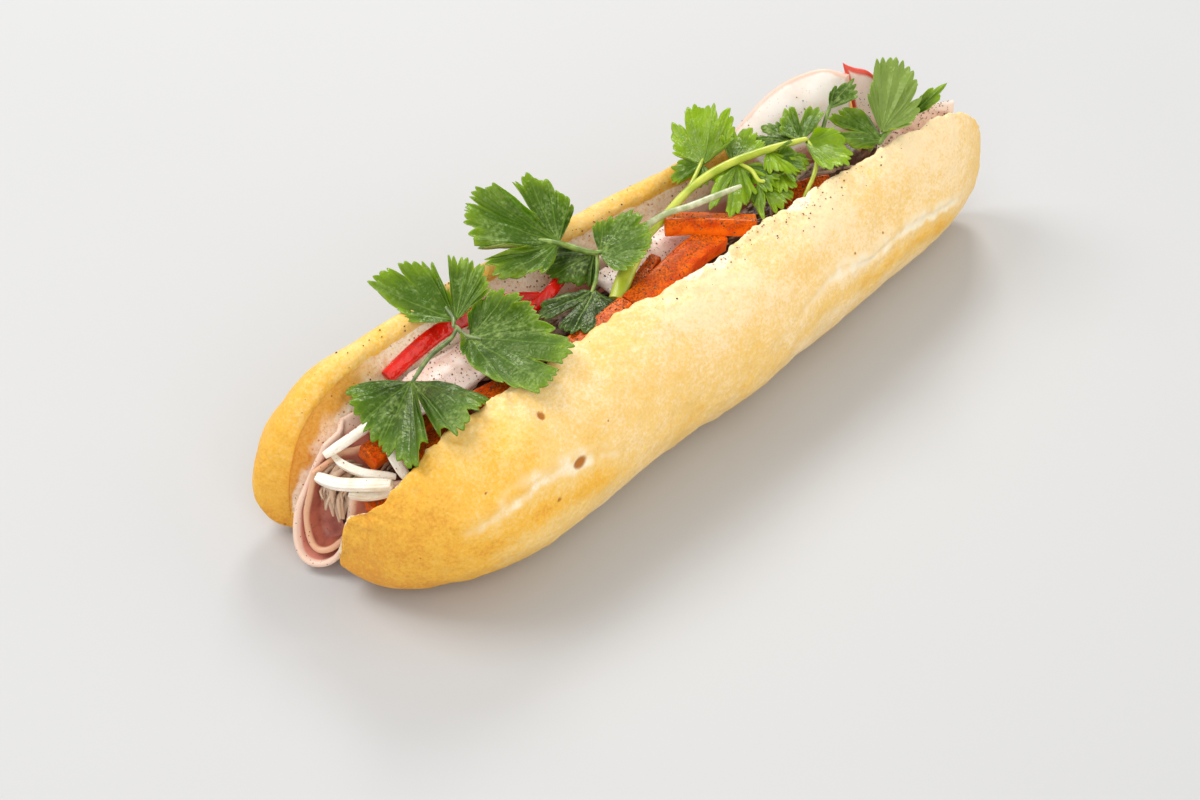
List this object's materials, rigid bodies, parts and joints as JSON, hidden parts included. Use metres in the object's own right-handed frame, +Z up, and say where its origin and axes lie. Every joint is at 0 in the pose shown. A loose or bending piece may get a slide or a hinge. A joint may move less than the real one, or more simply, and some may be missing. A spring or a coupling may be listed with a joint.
{
  "type": "banh mi sandwich",
  "caption": "Crusty split roll filled along its length with ham, cold cuts, shredded pork, carrot and daikon sticks, chilli strips and coriander sprigs",
  "frame": {"origin": "middle of the footprint, on the surface that the sandwich rests on", "axes": "+X along the roll, away from the end where the ham shows, -Y towards the tall front half, +Z up out of the open pocket"},
  "size_m": [0.2858, 0.0962, 0.0756],
  "materials": {
    "bread": "baked wheat crust, satin on the crust and matt on the crumb",
    "pork": "moist cooked meat fibres",
    "ham": "moist pink ham with a paler rim",
    "cold_cut": "smooth pale cold cut with ground pepper",
    "carrot": "wet cut carrot",
    "daikon": "wet pickled daikon",
    "chilli": "glossy red chilli skin",
    "coriander": "fresh leaf with a slight sheen"
  },
  "bodies": {
    "root": {"bread": "bread", "shredded_pork": "pork", "ham_outer": "ham", "ham_inner": "ham", "ham_end": "ham", "cold_cut_left": "cold_cut", "cold_cut_middle": "cold_cut", "cold_cut_back": "cold_cut", "cold_cut_end": "cold_cut", "carrot_baton_front": "carrot", "carrot_baton_across": "carrot", "carrot_stick_thin": "carrot", "carrot_stick_back": "carrot", "carrot_stick_left": "carrot", "carrot_stick_end_1": "carrot", "carrot_stick_end_2": "carrot", "carrot_stick_end_3": "carrot", "carrot_stick_right": "carrot", "carrot_stick_low": "carrot", "daikon_strip_1": "daikon", "daikon_strip_2": "daikon", "daikon_strip_3": "daikon", "daikon_strip_4": "daikon", "daikon_strip_5": "daikon", "chilli_strip_left": "chilli", "chilli_strip_right": "chilli", "coriander_sprig_left": "coriander", "coriander_sprig_middle": "coriander", "coriander_sprig_right": "coriander", "coriander_sprig_end": "coriander", "coriander_leaf_back": "coriander"}
  },
  "joints": []
}
